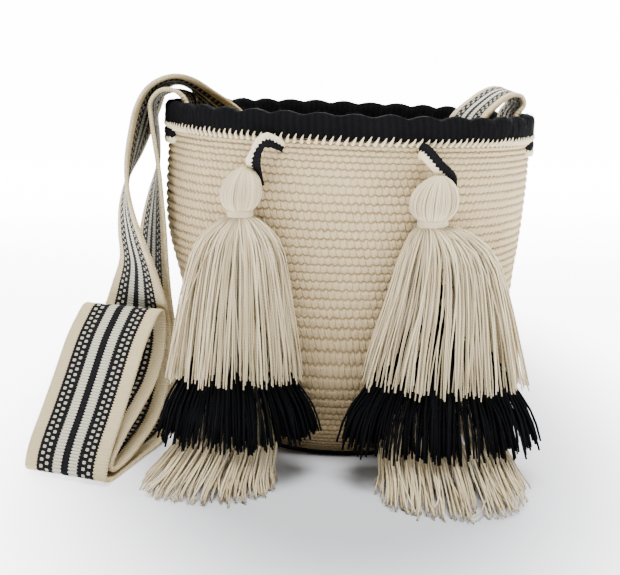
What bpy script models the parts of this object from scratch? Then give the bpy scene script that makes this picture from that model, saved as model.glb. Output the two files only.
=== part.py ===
"""Crocheted bucket bag with a woven shoulder strap, a drawstring and two three-tier tassels.

Metres, +Z up. The origin is the centre of the base's underside. The bag's front faces -Y, and
the strap's slack is folded into a bundle that stands at the bag's left side (-X).
"""
import math

import bmesh
import bpy
from mathutils import Matrix, Vector

# ---- driving dimensions -------------------------------------------------------------------------
FABRIC = 0.003                # thickness of the crocheted wall
BASE_THICKNESS = 0.0035
GAP = 0.0003                  # clearance between touching pieces
BOUNDARY_HEIGHT = 0.2228      # where the wall's yarn ends and the edging's begins
RIM_HEIGHT = 0.2386
RIM_OUTER = (0.1335, 0.1055)  # half width and half depth of the edging
RIM_INNER = (0.1245, 0.0965)
RIM_TILT = -0.041             # the mouth leans down towards +X
TILT_START = 0.10             # height where that lean begins
SCALLOPS = 36
SCALLOP_RISE = 0.0015
LEFT_BULGE = 0.006            # how far the left side sags out below the edging
BULGE_HEIGHT = 0.172
BULGE_SPREAD = 0.032
WALL_SEGMENTS = 60
RIM_SEGMENTS = SCALLOPS * 4

# Height, half width and half depth of the wall's outer face, bottom to top.
WALL_PROFILE = [
    (BASE_THICKNESS + GAP, 0.0895, 0.0810),
    (0.010, 0.0950, 0.0845),
    (0.025, 0.1030, 0.0895),
    (0.050, 0.1120, 0.0945),
    (0.093, 0.1208, 0.0990),
    (0.125, 0.1245, 0.1010),
    (0.152, 0.1275, 0.1025),
    (0.180, 0.1292, 0.1030),
    (0.206, 0.1300, 0.1030),
    (BOUNDARY_HEIGHT - GAP, 0.1300, 0.1025),
]

STRAP_WIDTH = 0.063
STRAP_THICKNESS = 0.0026
STRAP_STATIONS = 200

CORD_WIDTH = 0.0085
CORD_THICKNESS = 0.0024
CORD_STATIONS = 180
EYELET_DROP = 0.0070          # from the colour boundary down to the eyelets' centres
EYELET_SIZE = (0.0170, 0.0108)  # along the round and up
EYELET_CORNER = 0.003
EYELET_REACH = 0.03             # length of the cutter, well through the wall
CROSSING_ANGLE = 2.7          # how far either side of an eyelet the cord takes to pass the wall

TASSEL_SEGMENTS = 24
BINDING_THICKNESS = 0.0016


# ---- materials and helpers ----------------------------------------------------------------------
def yarn(name, colour, roughness=0.9):
    """A plain yarn material; crochet, weave and tassels are all dull cotton."""
    material = bpy.data.materials.new(name)
    material.use_nodes = True
    shader = material.node_tree.nodes["Principled BSDF"]
    shader.inputs["Base Color"].default_value = (*colour, 1.0)
    shader.inputs["Roughness"].default_value = roughness
    shader.inputs["Metallic"].default_value = 0.0
    return material


def add_object(name, bm, material, location=(0.0, 0.0, 0.0), parent=None):
    """Turn a bmesh into a smooth-shaded object with its faces pointing out."""
    bmesh.ops.recalc_face_normals(bm, faces=bm.faces)
    mesh = bpy.data.meshes.new(name)
    bm.to_mesh(mesh)
    bm.free()
    mesh.shade_smooth()
    mesh.set_sharp_from_angle(angle=math.radians(50))
    mesh.materials.append(material)
    item = bpy.data.objects.new(name, mesh)
    item.location = location
    item.parent = parent
    bpy.context.scene.collection.objects.link(item)
    return item


def loft(bm, levels, segments, closed):
    """Extrude a ring through (x, y, z, half width, half depth) levels.

    A closed loft joins its last ring to its first; an open one is capped at both ends.
    """
    x, y, z, wide, deep = levels[0]
    place = Matrix.Translation((x, y, z)) @ Matrix.Diagonal((wide, deep, 1.0, 1.0))
    verts = bmesh.ops.create_circle(bm, segments=segments, radius=1.0, matrix=place)["verts"]
    first = list({edge for vert in verts for edge in vert.link_edges})
    edges = first
    for before, after in zip(levels, levels[1:]):
        grown = bmesh.ops.extrude_edge_only(bm, edges=edges)["geom"]
        edges = [item for item in grown if isinstance(item, bmesh.types.BMEdge)
                 and not any(vert in verts for vert in item.verts)]
        verts = [item for item in grown if isinstance(item, bmesh.types.BMVert)]
        for vert in verts:
            vert.co.x = after[0] + (vert.co.x - before[0]) * after[3] / before[3]
            vert.co.y = after[1] + (vert.co.y - before[1]) * after[4] / before[4]
            vert.co.z = after[2]
    if closed:
        bmesh.ops.bridge_loops(bm, edges=first + edges)
    else:
        bmesh.ops.edgeloop_fill(bm, edges=first)
        bmesh.ops.edgeloop_fill(bm, edges=edges)
    return bm


def ease(value):
    """Smooth step from 0 to 1."""
    value = min(max(value, 0.0), 1.0)
    return value * value * (3.0 - 2.0 * value)


def slump(point):
    """Lean of the mouth and the soft bulge of the left side, at a point of the bag."""
    lean = RIM_TILT * point.x * ease((point.z - TILT_START) / (RIM_HEIGHT - TILT_START))
    bulge = 0.0
    if point.x < 0.0:
        height = math.exp(-((point.z - BULGE_HEIGHT) / BULGE_SPREAD) ** 2)
        bulge = -LEFT_BULGE * height * (point.x / RIM_OUTER[0]) ** 4
    return Vector((bulge, 0.0, lean))


def smooth_route(route, stations):
    """Catmull-Rom points through a route of equal-length vectors, at even parameter steps."""
    points = []
    spans = len(route) - 1
    for step in range(stations + 1):
        place = step / stations * spans
        span = min(int(place), spans - 1)
        t = place - span
        a = route[max(span - 1, 0)]
        b, c = route[span], route[span + 1]
        d = route[min(span + 2, spans)]
        points.append([
            0.5 * (2 * q + (r - p) * t + (2 * p - 5 * q + 4 * r - s) * t * t
                   + (3 * q - p - 3 * r + s) * t ** 3)
            for p, q, r, s in zip(a, b, c, d)])
    return points


def ribbon(name, route, stations, width, thickness, anchor, material):
    """A flat band along a route of points and width directions; Solidify gives its body.

    The route's points lie at the fraction anchor of the width: 0 is the near edge.
    """
    path = smooth_route(route, stations)
    bm = bmesh.new()
    bmesh.ops.create_grid(bm, x_segments=stations, y_segments=1, size=0.5)
    for vert in bm.verts:
        point = path[round((vert.co.x + 0.5) * stations)]
        across = Vector(point[3:]).normalized() * width
        vert.co = Vector(point[:3]) + across * (vert.co.y + 0.5 - anchor)
    item = add_object(name, bm, material)
    body = item.modifiers.new("body", "SOLIDIFY")
    body.thickness = thickness
    body.offset = 0.0
    return item


# ---- the bag: base disc, wall and scalloped edging ----------------------------------------------
def base_disc(material):
    """Flat round of crochet that the bag stands on, its edge rounded."""
    x, y = WALL_PROFILE[0][1:]
    edge = 0.0012
    levels = [(0, 0, 0, x - edge, y - edge), (0, 0, edge, x, y),
              (0, 0, BASE_THICKNESS - edge, x, y), (0, 0, BASE_THICKNESS, x - edge, y - edge)]
    return add_object("base_disc", loft(bmesh.new(), levels, WALL_SEGMENTS, closed=False), material)


def cut_eyelet(wall, angle, name):
    """One stretched stitch hole through the wall, for the drawstring."""
    x, y, z = cord_seat(angle, 0.0)
    turn = math.atan2(y / RIM_OUTER[1] ** 2, x / RIM_OUTER[0] ** 2)
    bm = bmesh.new()
    bmesh.ops.create_cube(bm, size=1.0, matrix=Matrix.Diagonal((EYELET_REACH, *EYELET_SIZE, 1.0)))
    corners = [edge for edge in bm.edges
               if abs(edge.verts[0].co.x - edge.verts[1].co.x) > EYELET_REACH / 2]
    bmesh.ops.bevel(bm, geom=corners, offset=EYELET_CORNER, segments=2, profile=0.5,
                    affect="EDGES")
    cutter = add_object(name, bm, wall.data.materials[0], (x, y, z))
    cutter.rotation_euler.z = turn
    cutter.hide_render = True
    cutter.display_type = "WIRE"
    hole = wall.modifiers.new(name, "BOOLEAN")
    hole.operation = "DIFFERENCE"
    hole.object = cutter


def bag_wall(material):
    """The bucket's side, open at both ends, with an eyelet wherever the drawstring passes."""
    outer = [(0, 0, z, wide, deep) for z, wide, deep in WALL_PROFILE]
    inner = [(0, 0, z, wide - FABRIC, deep - FABRIC) for z, wide, deep in reversed(WALL_PROFILE)]
    bm = loft(bmesh.new(), outer + inner, WALL_SEGMENTS, closed=True)
    for vert in bm.verts:
        vert.co += slump(vert.co)
    wall = add_object("bag_wall", bm, material)
    for index, angle in enumerate(EYELET_ANGLES):
        cut_eyelet(wall, angle, f"eyelet_cutter_{index}")
    return wall


def rim_edging(material):
    """Thick scalloped edging worked onto the wall's last round."""
    outer_x, outer_y = RIM_OUTER
    inner_x, inner_y = RIM_INNER
    soft = 0.002
    levels = [
        (0, 0, BOUNDARY_HEIGHT, outer_x, outer_y),
        (0, 0, RIM_HEIGHT - soft, outer_x, outer_y),
        (0, 0, RIM_HEIGHT, outer_x - soft, outer_y - soft),
        (0, 0, RIM_HEIGHT, inner_x + soft, inner_y + soft),
        (0, 0, RIM_HEIGHT - soft, inner_x, inner_y),
        (0, 0, BOUNDARY_HEIGHT, inner_x, inner_y),
    ]
    bm = loft(bmesh.new(), levels, RIM_SEGMENTS, closed=True)
    for vert in bm.verts:
        if vert.co.z > RIM_HEIGHT - 2 * soft:
            angle = math.atan2(vert.co.y / outer_y, vert.co.x / outer_x)
            vert.co.z += SCALLOP_RISE * math.cos(SCALLOPS * angle)
        vert.co += slump(vert.co)
    return add_object("rim_edging", bm, material)


# ---- the drawstring -----------------------------------------------------------------------------
def cord_seat(degrees, offset):
    """A point on the eyelet round at an angle, so far outside (+) or inside (-) the wall."""
    angle = math.radians(degrees)
    wide, deep = WALL_PROFILE[-1][1:]
    middle = -FABRIC / 2
    point = Vector(((wide + middle + offset) * math.cos(angle),
                    (deep + middle + offset) * math.sin(angle), BOUNDARY_HEIGHT - EYELET_DROP))
    return point + slump(point)


# The eyelets, by their angle round the mouth from +X; the front is at -90 degrees.
FRONT_LEFT, FRONT_RIGHT = -111.0, -71.0
EYELET_ANGLES = [FRONT_LEFT, -160, 160, 125, 100, 80, 55, 20, -20, FRONT_RIGHT]
CORD_INSIDE = -0.0042         # how far the cord lies from the wall's middle on either side
CORD_OUTSIDE = 0.0042
CORD_TWIST = -0.0080          # further in, where the cord turns over once inside the mouth


def cord_route():
    """The drawstring's middle line and width direction, from one tassel to the other."""
    upright = (0.0, 0.0, 1.0)
    route = [
        (-0.0585, -0.0950, 0.1920, 0.60, -0.78, -0.20),
        (-0.0600, -0.0975, 0.1985, 0.62, -0.76, -0.20),
        (-0.0620, -0.1035, 0.2050, 0.70, -0.68, -0.20),
        (-0.0648, -0.1095, 0.2090, 0.90, -0.42, -0.05),
        (-0.0655, -0.1125, 0.2145, 0.98, -0.10, -0.12),
        (-0.0635, -0.1110, 0.2190, 0.92, 0.00, -0.38),
        (-0.0600, -0.1065, 0.2222, 0.68, 0.00, -0.73),
        (-0.0555, -0.1028, 0.2228, 0.20, 0.10, -0.97),
        (-0.0510, -0.1000, 0.2205, 0.05, 0.05, -1.00),
        (-0.0478, -0.0968, 0.2180, 0.00, 0.00, -1.00),
        (*cord_seat(FRONT_LEFT, 0.0), 0.0, 0.0, -1.0),
        (*cord_seat(FRONT_LEFT - CROSSING_ANGLE, CORD_INSIDE), 0.0, 0.0, -1.0),
        (*cord_seat(FRONT_LEFT - 12, CORD_INSIDE), 0.10, 0.20, -0.97),
        (*cord_seat(FRONT_LEFT - 20, CORD_TWIST), 0.30, 0.60, -0.70),
        (*cord_seat(FRONT_LEFT - 26, CORD_TWIST), 0.45, 0.88, 0.00),
        (*cord_seat(FRONT_LEFT - 32, CORD_TWIST), 0.35, 0.55, 0.72),
        (*cord_seat(FRONT_LEFT - 40, CORD_INSIDE), 0.10, 0.15, 0.97),
    ]
    # The round is walked the way that the angles fall, so each one is at most the one before.
    turns = [angle if angle <= EYELET_ANGLES[0] else angle - 360 for angle in EYELET_ANGLES]
    for index, (start, end) in enumerate(zip(turns, turns[1:])):
        side = CORD_INSIDE if index % 2 == 0 else CORD_OUTSIDE
        start_in, end_in = start - CROSSING_ANGLE, end + CROSSING_ANGLE
        steps = max(int((start - end) / 9), 2)
        # The first stretch is laid out above as far as its half twist, so only its end follows.
        for step in range(steps if index == 0 else 0, steps + 1):
            angle = start_in + (end_in - start_in) * step / steps
            route.append((*cord_seat(angle, side), *upright))
        route.append((*cord_seat(end, 0.0), *upright))
    return route + [
        (0.0418, -0.1020, 0.2168, 0.35, -0.10, 0.93),
        (0.0440, -0.1060, 0.2155, 0.75, -0.10, 0.65),
        (0.0475, -0.1115, 0.2115, 0.88, -0.12, 0.46),
        (0.0512, -0.1135, 0.2075, 0.86, -0.25, 0.42),
        (0.0552, -0.1118, 0.2042, 0.82, -0.45, 0.33),
        (0.0595, -0.1060, 0.1996, 0.75, -0.62, 0.22),
        (0.0608, -0.1010, 0.1930, 0.66, -0.74, 0.10),
    ]


# ---- the strap ----------------------------------------------------------------------------------
def bundle(along, height, across=(-0.94, 0.34, 0.0)):
    """A near-edge point in the folded bundle, measured back from its front corner on the floor."""
    return (-0.1616 + 0.34 * along, -0.1288 + 0.94 * along, height, *across)


# Near edge and width direction, from the left end inside the mouth to the right end.
STRAP_ROUTE = [
    (-0.1150, -0.0315, 0.1960, 0.00, 1.00, 0.00),
    (-0.1150, -0.0315, 0.2130, 0.00, 1.00, 0.00),
    (-0.1150, -0.0315, 0.2300, 0.00, 1.00, 0.00),
    (-0.1165, -0.0315, 0.2440, 0.00, 1.00, 0.00),
    (-0.1230, -0.0320, 0.2515, 0.00, 1.00, -0.04),
    (-0.1330, -0.0330, 0.2520, -0.02, 1.00, -0.04),
    (-0.1400, -0.0350, 0.2440, -0.05, 1.00, 0.00),
    (-0.1398, -0.0360, 0.2320, -0.09, 0.99, 0.00),
    (-0.1375, -0.0380, 0.2148, -0.11, 0.99, 0.00),
    (-0.1345, -0.0410, 0.1950, -0.17, 0.98, 0.00),
    (-0.1325, -0.0440, 0.1752, -0.30, 0.95, 0.00),
    (-0.1312, -0.0440, 0.1550, -0.41, 0.91, 0.00),
    (-0.1305, -0.0435, 0.1300, -0.50, 0.87, 0.00),
    (-0.1296, -0.0400, 0.1050, -0.60, 0.80, 0.00),
    (-0.1280, -0.0360, 0.0800, -0.70, 0.71, 0.00),
    bundle(0.1000, 0.0500, (-0.84, 0.54, 0.0)),
    bundle(0.0985, 0.0230),
    bundle(0.0880, 0.0060),
    bundle(0.0720, 0.0020),
    bundle(0.0480, 0.0020),
    bundle(0.0250, 0.0019),
    bundle(0.0060, 0.0019),
    bundle(-0.0015, 0.0050),
    bundle(-0.0005, 0.0115),
    bundle(0.0030, 0.0180),
    bundle(0.0090, 0.0260),
    bundle(0.0196, 0.0380),
    bundle(0.0357, 0.0573),
    bundle(0.0541, 0.0800),
    bundle(0.0690, 0.0930),
    bundle(0.0775, 0.0985),
    bundle(0.0835, 0.0970),
    bundle(0.0850, 0.0890),
    bundle(0.0835, 0.0740),
    bundle(0.0760, 0.0590),
    bundle(0.0640, 0.0470),
    bundle(0.0465, 0.0370),
    bundle(0.0300, 0.0290),
    bundle(0.0160, 0.0205),
    bundle(0.0080, 0.0145),
    bundle(0.0062, 0.0100),
    bundle(0.0110, 0.0070),
    bundle(0.0280, 0.0080),
    bundle(0.0490, 0.0135),
    bundle(0.0640, 0.0195),
    bundle(0.0750, 0.0275),
    bundle(0.0840, 0.0390),
    bundle(0.0900, 0.0540),
    bundle(0.0915, 0.0720),
    bundle(0.0905, 0.0900, (-0.85, 0.52, 0.0)),
    (-0.1330, -0.0500, 0.1080, -0.72, 0.69, 0.00),
    (-0.1375, -0.0535, 0.1270, -0.56, 0.83, 0.00),
    (-0.1440, -0.0565, 0.1480, -0.46, 0.89, 0.00),
    (-0.1505, -0.0575, 0.1680, -0.33, 0.94, 0.00),
    (-0.1545, -0.0565, 0.1880, -0.17, 0.98, 0.00),
    (-0.1552, -0.0530, 0.2060, 0.00, 1.00, 0.00),
    (-0.1530, -0.0480, 0.2240, 0.09, 1.00, 0.00),
    (-0.1500, -0.0430, 0.2390, 0.12, 0.98, -0.04),
    (-0.1440, -0.0370, 0.2515, 0.10, 0.98, -0.02),
    (-0.1350, -0.0310, 0.2590, 0.06, 0.99, -0.06),
    (-0.1235, -0.0250, 0.2622, 0.04, 0.98, -0.16),
    (-0.1115, -0.0180, 0.2595, 0.02, 0.94, -0.34),
    (-0.0975, -0.0080, 0.2500, 0.00, 0.90, -0.43),
    (-0.0840, 0.0010, 0.2400, 0.02, 0.86, -0.50),
    (-0.0710, 0.0140, 0.2270, 0.08, 0.72, -0.68),
    (-0.0590, 0.0340, 0.2150, 0.12, 0.45, -0.88),
    (-0.0430, 0.0600, 0.2070, 0.05, 0.15, -0.98),
    (-0.0190, 0.0785, 0.2020, 0.00, 0.03, -1.00),
    (0.0110, 0.0830, 0.2000, 0.00, 0.00, -1.00),
    (0.0400, 0.0745, 0.1995, -0.03, 0.06, -1.00),
    (0.0630, 0.0550, 0.2000, -0.08, 0.25, -0.95),
    (0.0780, 0.0270, 0.2020, -0.18, 0.60, -0.76),
    (0.0850, -0.0020, 0.2080, -0.25, 0.86, -0.42),
    (0.0890, -0.0230, 0.2190, -0.27, 0.94, -0.14),
    (0.0955, -0.0300, 0.2330, -0.26, 0.96, -0.04),
    (0.1040, -0.0310, 0.2425, -0.14, 0.98, 0.04),
    (0.1120, -0.0305, 0.2480, -0.06, 0.99, 0.06),
    (0.1190, -0.0315, 0.2475, 0.00, 1.00, 0.04),
    (0.1210, -0.0315, 0.2415, 0.00, 1.00, 0.00),
    (0.1165, -0.0315, 0.2345, 0.00, 1.00, 0.00),
    (0.1150, -0.0315, 0.2240, 0.00, 1.00, 0.00),
    (0.1150, -0.0315, 0.2080, 0.00, 1.00, 0.00),
    (0.1150, -0.0315, 0.1900, 0.00, 1.00, 0.00),
]


# ---- tassels ------------------------------------------------------------------------------------
HIDDEN_HEAD = (0.0088, 0.0170)   # radius and height of a head that the tier above hides
NECK_WAIST = 0.60                # neck radius over head radius


def head_levels(x, y, top, radius, neck):
    """Levels of a tassel's round head, from its crown down to its neck."""
    shape = [(0.0, 0.30), (0.05, 0.55), (0.18, 0.85), (0.42, 1.00), (0.68, 0.88), (0.90, 0.64),
             (1.00, NECK_WAIST), (1.12, NECK_WAIST)]
    return [(x, y, top - (top - neck) * down, radius * wide, radius * wide)
            for down, wide in shape]


def tier(name, levels, material, hook):
    """One tassel: head, neck and skirt as a bell, its place measured from the hook it hangs on."""
    bm = loft(bmesh.new(), levels, TASSEL_SEGMENTS, closed=False)
    bmesh.ops.translate(bm, verts=bm.verts, vec=-hook.location)
    return add_object(name, bm, material, parent=hook)


def binding(name, x, y, z, radius, height, material, hook):
    """Yarn wound round a tassel's neck, as a short thick ring."""
    inside, outside = radius + GAP, radius + GAP + BINDING_THICKNESS
    half = height / 2
    rings = [(inside, -half), (outside, -half * 0.6), (outside, half * 0.6), (inside, half)]
    levels = [(x, y, z + rise, wide, wide) for wide, rise in rings]
    bm = loft(bmesh.new(), levels, TASSEL_SEGMENTS, closed=True)
    bmesh.ops.translate(bm, verts=bm.verts, vec=-hook.location)
    return add_object(name, bm, material, parent=hook)


def tassel(side, hook_place, head, skirts, materials):
    """Three tassels strung one below another, the lower heads hidden in the skirts above."""
    hook = bpy.data.objects.new(f"{side}_tassel_hook", None)
    hook.location = hook_place
    bpy.context.scene.collection.objects.link(hook)
    x, y, top, radius, neck = head
    for order, (skirt, material) in enumerate(zip(skirts, materials)):
        name = ("upper", "middle", "lower")[order]
        if order:
            top = skirt["head"][2]
            radius, neck = HIDDEN_HEAD[0], top - HIDDEN_HEAD[1]
        head_x, head_y = x + skirt["head"][0], y + skirt["head"][1]
        rows = [(x + dx, y + dy, z, wide, deep)
                for dx, dy, z, wide, deep in skirt["outer"] + skirt["inner"]]
        levels = head_levels(head_x, head_y, top, radius, neck) + rows
        tier(f"{side}_{name}_tassel", levels, material, hook)
        binding(f"{side}_{name}_binding", head_x, head_y, neck - (top - neck) * 0.06,
                radius * NECK_WAIST, (top - neck) * 0.11, material, hook)


LEFT_HOOK = (-0.0660, -0.1095, 0.2130)     # where each tassel hangs in the drawstring's bight
RIGHT_HOOK = (0.0485, -0.1125, 0.2080)

# Each skirt: offset of its head from the top head's axis with the crown's height, then the outer
# and inner faces as (offset x, offset y, height, half width, half depth).
LEFT_TASSEL = {
    "head": (-0.0735, -0.1080, 0.2066, 0.0128, 0.1790),
    "skirts": [
        {
            "head": (0.0000, 0.0000, 0.2066),
            "outer": [
                (-0.0008, 0.0010, 0.1690, 0.0170, 0.0135),
                (-0.0018, 0.0010, 0.1550, 0.0275, 0.0170),
                (-0.0032, 0.0010, 0.1250, 0.0345, 0.0190),
                (-0.0042, 0.0010, 0.0920, 0.0395, 0.0205),
                (-0.0052, 0.0010, 0.0680, 0.0425, 0.0220),
            ],
            "inner": [
                (-0.0049, 0.0010, 0.0680, 0.0370, 0.0175),
                (-0.0044, 0.0010, 0.0900, 0.0325, 0.0155),
                (-0.0032, 0.0010, 0.1200, 0.0240, 0.0125),
                (-0.0022, 0.0010, 0.1400, 0.0120, 0.0080),
            ],
        },
        {
            "head": (-0.0032, 0.0010, 0.1340),
            "outer": [
                (-0.0037, 0.0010, 0.1080, 0.0120, 0.0090),
                (-0.0044, 0.0010, 0.0900, 0.0240, 0.0120),
                (-0.0049, 0.0010, 0.0680, 0.0345, 0.0158),
                (-0.0049, -0.0010, 0.0500, 0.0430, 0.0215),
                (-0.0049, -0.0060, 0.0300, 0.0480, 0.0260),
            ],
            "inner": [
                (-0.0049, -0.0060, 0.0300, 0.0420, 0.0205),
                (-0.0049, -0.0010, 0.0500, 0.0360, 0.0165),
                (-0.0049, 0.0010, 0.0680, 0.0270, 0.0120),
                (-0.0044, 0.0010, 0.0920, 0.0140, 0.0097),
                (-0.0042, 0.0010, 0.0960, 0.0080, 0.0060),
            ],
        },
        {
            "head": (-0.0047, 0.0010, 0.0900),
            "outer": [
                (-0.0049, 0.0010, 0.0660, 0.0100, 0.0090),
                (-0.0052, -0.0010, 0.0500, 0.0220, 0.0125),
                (-0.0092, -0.0070, 0.0300, 0.0320, 0.0160),
                (-0.0182, -0.0160, 0.0120, 0.0390, 0.0240),
                (-0.0212, -0.0200, 0.0050, 0.0430, 0.0280),
                (-0.0217, -0.0210, 0.0005, 0.0440, 0.0290),
            ],
            "inner": [],
        },
    ],
}
RIGHT_TASSEL = {
    "head": (0.0480, -0.1165, 0.2020, 0.0150, 0.1740),
    "skirts": [
        {
            "head": (0.0000, 0.0000, 0.2020),
            "outer": [
                (0.0055, 0.0010, 0.1655, 0.0190, 0.0145),
                (0.0110, 0.0010, 0.1500, 0.0305, 0.0180),
                (0.0122, 0.0015, 0.1220, 0.0390, 0.0200),
                (0.0108, 0.0015, 0.0900, 0.0475, 0.0220),
                (0.0104, 0.0015, 0.0654, 0.0530, 0.0235),
            ],
            "inner": [
                (0.0108, 0.0015, 0.0654, 0.0485, 0.0190),
                (0.0100, 0.0015, 0.0880, 0.0435, 0.0170),
                (0.0075, 0.0015, 0.1150, 0.0330, 0.0140),
                (0.0045, 0.0015, 0.1380, 0.0130, 0.0085),
            ],
        },
        {
            "head": (0.0070, 0.0015, 0.1320),
            "outer": [
                (0.0075, 0.0015, 0.1050, 0.0140, 0.0095),
                (0.0085, 0.0015, 0.0880, 0.0310, 0.0135),
                (0.0090, 0.0015, 0.0654, 0.0445, 0.0172),
                (0.0085, -0.0005, 0.0470, 0.0540, 0.0235),
                (0.0081, -0.0065, 0.0260, 0.0585, 0.0285),
            ],
            "inner": [
                (0.0081, -0.0065, 0.0260, 0.0520, 0.0225),
                (0.0085, -0.0005, 0.0470, 0.0460, 0.0180),
                (0.0090, 0.0015, 0.0654, 0.0340, 0.0130),
                (0.0085, 0.0015, 0.0890, 0.0150, 0.0100),
                (0.0085, 0.0015, 0.0940, 0.0080, 0.0060),
            ],
        },
        {
            "head": (0.0085, 0.0015, 0.0880),
            "outer": [
                (0.0085, 0.0015, 0.0640, 0.0110, 0.0095),
                (0.0085, -0.0005, 0.0470, 0.0270, 0.0140),
                (0.0095, -0.0075, 0.0260, 0.0400, 0.0185),
                (0.0125, -0.0195, 0.0120, 0.0430, 0.0270),
                (0.0135, -0.0275, 0.0050, 0.0450, 0.0340),
                (0.0140, -0.0285, 0.0005, 0.0455, 0.0350),
            ],
            "inner": [],
        },
    ],
}


# ---- assembly -----------------------------------------------------------------------------------
for old in list(bpy.data.objects):
    bpy.data.objects.remove(old, do_unlink=True)

natural = yarn("natural_cotton", (0.60, 0.52, 0.39))
tassel_natural = yarn("tassel_cotton", (0.58, 0.53, 0.44))
dark = yarn("black_cotton", (0.010, 0.011, 0.012))
woven = yarn("woven_band", (0.30, 0.28, 0.24), 0.85)
cord = yarn("two_tone_cord", (0.25, 0.23, 0.20))

base_disc(dark)
bag_wall(natural)
rim_edging(dark)
ribbon("drawstring", cord_route(), CORD_STATIONS, CORD_WIDTH, CORD_THICKNESS, 0.5, cord)
ribbon("strap", STRAP_ROUTE, STRAP_STATIONS, STRAP_WIDTH, STRAP_THICKNESS, 0.0, woven)
yarns = (tassel_natural, dark, tassel_natural)
tassel("left", LEFT_HOOK, **LEFT_TASSEL, materials=yarns)
tassel("right", RIGHT_HOOK, **RIGHT_TASSEL, materials=yarns)
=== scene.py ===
import math
import random

import bmesh
import bpy
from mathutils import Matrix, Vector, noise


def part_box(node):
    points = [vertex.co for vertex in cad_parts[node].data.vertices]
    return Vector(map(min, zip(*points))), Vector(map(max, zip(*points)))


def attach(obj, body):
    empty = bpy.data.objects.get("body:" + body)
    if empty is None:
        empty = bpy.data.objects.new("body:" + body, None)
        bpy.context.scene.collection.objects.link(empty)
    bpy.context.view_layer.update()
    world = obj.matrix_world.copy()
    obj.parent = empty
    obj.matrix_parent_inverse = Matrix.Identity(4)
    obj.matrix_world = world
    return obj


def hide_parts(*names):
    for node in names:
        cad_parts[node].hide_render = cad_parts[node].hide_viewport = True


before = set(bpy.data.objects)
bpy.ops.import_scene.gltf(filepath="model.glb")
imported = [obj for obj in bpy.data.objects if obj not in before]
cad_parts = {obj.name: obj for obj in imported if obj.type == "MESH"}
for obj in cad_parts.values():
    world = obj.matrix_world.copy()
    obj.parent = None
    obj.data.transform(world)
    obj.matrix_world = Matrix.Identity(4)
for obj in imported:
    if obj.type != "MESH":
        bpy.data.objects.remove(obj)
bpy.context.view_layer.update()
scene = bpy.context.scene

# ---- The studio ---------------------------------------------------------------------------------
# A seamless pale sweep that glows, so it goes to white away from the bag. One broad soft lamp hangs
# overhead, a weaker one stands to the left, and the camera is a little above the mouth.


def lamp(name, place, aim, size, watts):
    """A square soft lamp pointed at a spot."""
    light = bpy.data.lights.new(name, "AREA")
    light.shape = "SQUARE"
    light.size = size
    light.energy = watts
    item = bpy.data.objects.new(name, light)
    item.location = place
    item.rotation_euler = (Vector(aim) - Vector(place)).to_track_quat("-Z", "Y").to_euler()
    scene.collection.objects.link(item)
    return item


def join(tree, kind, settings=None, **links):
    """Add a shader node, set its options, and feed its named or numbered inputs."""
    item = tree.nodes.new(kind)
    for key, value in (settings or {}).items():
        setattr(item, key, value)
    for key, value in links.items():
        socket = item.inputs[int(key[1:])] if key[1:].isdigit() else item.inputs[key.replace("_", " ")]
        if isinstance(value, bpy.types.NodeSocket):
            tree.links.new(value, socket)
        else:
            socket.default_value = value
    return item


def calc(tree, operation, first, second=0.0, third=0.0):
    """One Math node's result."""
    return join(tree, "ShaderNodeMath", {"operation": operation}, i0=first, i1=second,
                i2=third).outputs[0]


FLOOR_GLOW, BACK_GLOW = 6.5, 6.5
sweep_shape = bmesh.new()
floor_edge = [sweep_shape.verts.new(corner) for corner in ((-4.0, -3.0, 0.0), (4.0, -3.0, 0.0))]
edge = sweep_shape.edges.new(floor_edge)
path = [(1.6, 0.0), (1.9, 0.03), (2.15, 0.13), (2.3, 0.28), (2.4, 0.5), (2.4, 3.5)]
for y, z in path:
    grown = bmesh.ops.extrude_edge_only(sweep_shape, edges=[edge])["geom"]
    for vert in (item for item in grown if isinstance(item, bmesh.types.BMVert)):
        vert.co.y, vert.co.z = y, z
    edge = next(item for item in grown if isinstance(item, bmesh.types.BMEdge)
                and all(abs(vert.co.y - y) < 1e-6 and abs(vert.co.z - z) < 1e-6
                        for vert in item.verts))
sweep_mesh = bpy.data.meshes.new("sweep")
sweep_shape.to_mesh(sweep_mesh)
sweep_shape.free()
sweep_mesh.shade_smooth()
sweep = bpy.data.objects.new("sweep", sweep_mesh)
scene.collection.objects.link(sweep)
paper = bpy.data.materials.new("studio_paper")
paper.use_nodes = True
paper_shader = paper.node_tree.nodes["Principled BSDF"]
paper_shader.inputs["Base Color"].default_value = (0.40, 0.41, 0.43, 1.0)
paper_shader.inputs["Roughness"].default_value = 0.75
tree = paper.node_tree
spot = join(tree, "ShaderNodeTexCoord").outputs["Object"]
oval = join(tree, "ShaderNodeVectorMath", {"operation": "MULTIPLY"}, i0=spot, i1=(1.0, 0.6, 1.0))
away = join(tree, "ShaderNodeVectorMath", {"operation": "LENGTH"}, i0=oval.outputs["Vector"])
away = away.outputs["Value"]
around_bag = join(tree, "ShaderNodeMapRange", {"interpolation_type": "SMOOTHSTEP"}, Value=away,
                  From_Min=0.12, From_Max=0.32, To_Min=0.0, To_Max=FLOOR_GLOW).outputs[0]
behind_bag = join(tree, "ShaderNodeMapRange", {"interpolation_type": "SMOOTHSTEP"},
                  Value=join(tree, "ShaderNodeSeparateXYZ", Vector=spot).outputs["Y"],
                  From_Min=0.25, From_Max=1.3, To_Min=0.0, To_Max=BACK_GLOW).outputs[0]
both = calc(tree, "ADD", around_bag, behind_bag)
glow = join(tree, "ShaderNodeCombineColor", Red=both, Green=both,
            Blue=calc(tree, "MULTIPLY", both, 1.03))
tree.links.new(glow.outputs[0], paper_shader.inputs["Emission Color"])
paper_shader.inputs["Emission Strength"].default_value = 1.0
sweep_mesh.materials.append(paper)

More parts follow.
